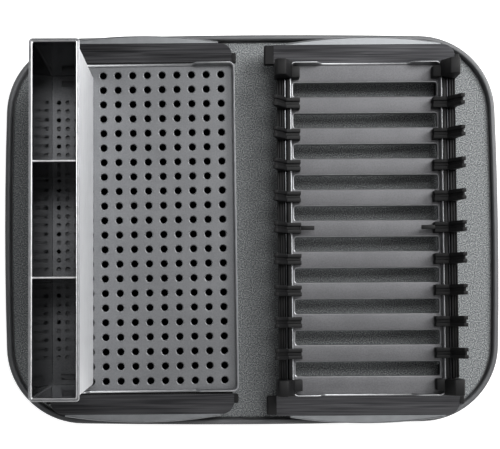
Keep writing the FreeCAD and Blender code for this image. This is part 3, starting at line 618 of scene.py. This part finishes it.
def make_floor():
    """A pale table that glows a little, so that shadows on it stay light."""
    work = bmesh.new()
    bmesh.ops.create_grid(work, x_segments=1, y_segments=1, size=FLOOR_REACH)
    mesh = bpy.data.meshes.new("floor")
    work.to_mesh(mesh)
    work.free()
    floor = bpy.data.objects.new("floor", mesh)
    made, tree, _ = begin("pale_table")
    close(tree, add(tree, "BsdfPrincipled", inputs={
        "Base Color": linear("d0d0d0"), "Roughness": 0.9, "Specular IOR Level": 0.1,
        "Emission Color": linear("ffffff"), "Emission Strength": 0.8}))
    mesh.materials.append(made)
    scene.collection.objects.link(floor)


def make_light(name, place, target, size, power):
    """A rectangular lamp, hidden from the camera: places and sizes in metres, power in watts."""
    data = bpy.data.lights.new(name, "AREA")
    data.shape = "RECTANGLE"
    data.size, data.size_y = size
    data.energy = power
    lamp = bpy.data.objects.new(name, data)
    lamp.location = Vector(place)
    lamp.visible_camera = False
    lamp.rotation_mode = "QUATERNION"
    lamp.rotation_quaternion = (Vector(target) - Vector(place)).to_track_quat("-Z", "Y")
    scene.collection.objects.link(lamp)


def make_lights():
    """A key softbox behind the tray's right end, a wide one above and behind, a weak one in front, a dim
    white room, and a faint glow under the pan that stands for light scattered beneath it."""
    make_light("key_softbox", (1.25, 0.75, 1.15), (0.05, 0, 0.02), (0.9, 0.9), 43)
    make_light("overhead_softbox", (0.35, 0.55, 1.9), (0, 0, 0), (0.7, 0.7), 12)
    make_light("front_fill", (0.4, -0.9, 1.5), (0, 0, 0), (0.8, 0.8), 5)
    make_light("glow_under_pan", (LEFT_X, 0, 0.032), (LEFT_X, 0, 0), (0.12, 0.25), 0.12)
    world = bpy.data.worlds.new("studio")
    world.use_nodes = True
    world.node_tree.nodes["Background"].inputs["Color"].default_value = linear("ffffff")
    world.node_tree.nodes["Background"].inputs["Strength"].default_value = 0.26
    scene.world = world
    scene.view_settings.view_transform = "Standard"


make_camera()
make_floor()
make_lights()

abs_tray = moulded_plastic("anthracite_moulded_abs", "4c4d4f", "565759", 0.35, 0.5)
nylon_black = moulded_plastic("black_moulded_nylon", "070708", "0c0c0d", 0.55, 0.2)
rubber_sheet = grained_rubber()
rubber_foot = soft_rubber()
satin = steel("satin_stainless_sheet", "68696b", "727375", 0.52, (1.2, 1.2, 1.2), 0.5)
# The slats' steel is a darker copy of the sheet's satin steel: its darker tone is painted shade.
slat_satin_painted_shade = steel("satin_stainless_slats_painted_shade", "58585a", "636365", 0.52, (1.2, 1.2, 1.2), 0.5)
# A lighter copy of the satin steel for rolled edges, upstands and the caddy's rim: its light tone is a painted
# highlight.
rolled = steel("rolled_stainless_painted_highlight", "949597", "9e9fa1", 0.42, (6, 6, 6), 0.4, relief=0.01)
# A near-white copy of the steel for the hole lips, divider hems and the caddy's mouth bead: its tone is a
# painted highlight.
beaded = steel("painted_highlight_stainless_bead", "dededf", "ebebec", 0.4, (6, 6, 6), 0.2, relief=0.01)
dark_brushed = steel("dark_brushed_stainless", "303032", "49494b", 0.42, (60, 1.1, 1.1), 0.0, relief=0.06,
                     anisotropic=0.4)
# The wing grips are real steel pieces; their tone, lighter than the sheet's, is partly a painted highlight on
# their rounded edge.
grip_satin_painted_highlight = steel("satin_grip_steel_painted_highlight", "76787a", "7d7f81", 0.42, (8, 8, 8), 0.3, relief=0.02)
# The caddy's outside: satin steel whose near-white tone is painted light from the key lamp.
caddy_outside_painted_light = steel("satin_caddy_stainless_painted_light", "dcdddf", "e6e7e9", 0.62, (1.2, 30, 1.2), 0.3, relief=0.04)
# The caddy's inside and dividers: mirror-like steel whose dark tone is painted shade.
caddy_inside_painted_shade = steel("mirror_caddy_stainless_painted_shade", "505153", "5a5b5d", 0.12, (3, 3, 3), 0.3, relief=0.02)
drain_steel = steel("dark_drain_steel", "5a5b5d", "6a6b6d", 0.4, (1, 1, 1), 0.3, relief=0.03)
polished = steel("polished_stainless_rod", "4c4d4f", "58595b", 0.06, (6, 6, 6), 0.2, relief=0.01)
# A dark copy of the rod steel: its dark tone is painted shade in the right comb's groove.
shaded_rod = steel("painted_shade_steel_rod", "2c2c2e", "343436", 0.3, (3, 3, 3), 0.2)

SLOT_FINISH = {
    "tray_plastic": abs_tray, "mat_rubber": rubber_sheet, "foot_rubber": rubber_foot,
    "frame_plastic": nylon_black, "black_plastic": nylon_black, "dark_brushed_steel": dark_brushed,
    "grip_steel": grip_satin_painted_highlight, "satin_steel": satin, "rolled_steel": rolled, "caddy_steel": caddy_outside_painted_light,
    "rim_steel": rolled, "drain_steel": drain_steel, "polished_steel": polished,
}
for part in frame["record"]["subparts"]:
    paint(frame["nodes"][part["node"]], SLOT_FINISH[part["material_slot"]])
# The right rod gets the dark copy, which paints the shade in its groove.
paint(frame["nodes"]["right_comb_rod"], shaded_rod)
# Dividers get the caddy's inside steel, whose dark tone is painted shade, and hems in the near-white steel, a
# painted highlight.
for side in ("back", "front"):
    paint(frame["nodes"][f"{side}_divider"], caddy_inside_painted_shade)
    make_divider_hem(side, beaded)

make_perforated_sheet(satin, beaded)
make_slatted_sheet(slat_satin_painted_shade, rolled)
# Both upstands are drawn wholly in the lighter rolled steel, whose tone paints their highlight.
make_upstand("pan_rolled_upstand", "perforated_edge", "perforated_tray", PAN_HALF, PAN_LIP, PAN_FLARE,
             PAN_TURN, LEFT_X, 0, rolled)
make_upstand("slatted_rolled_upstand", "slatted_edge", "slatted_tray", SLAT_HALF, SLAT_LIP, SLAT_FLARE, 0.0,
             RIGHT_X, RIGHT_Y, rolled)
make_comb("left_comb", -1, nylon_black)
make_comb("right_comb", 1, nylon_black)
make_caddy(caddy_outside_painted_light, caddy_inside_painted_shade, rolled, beaded)
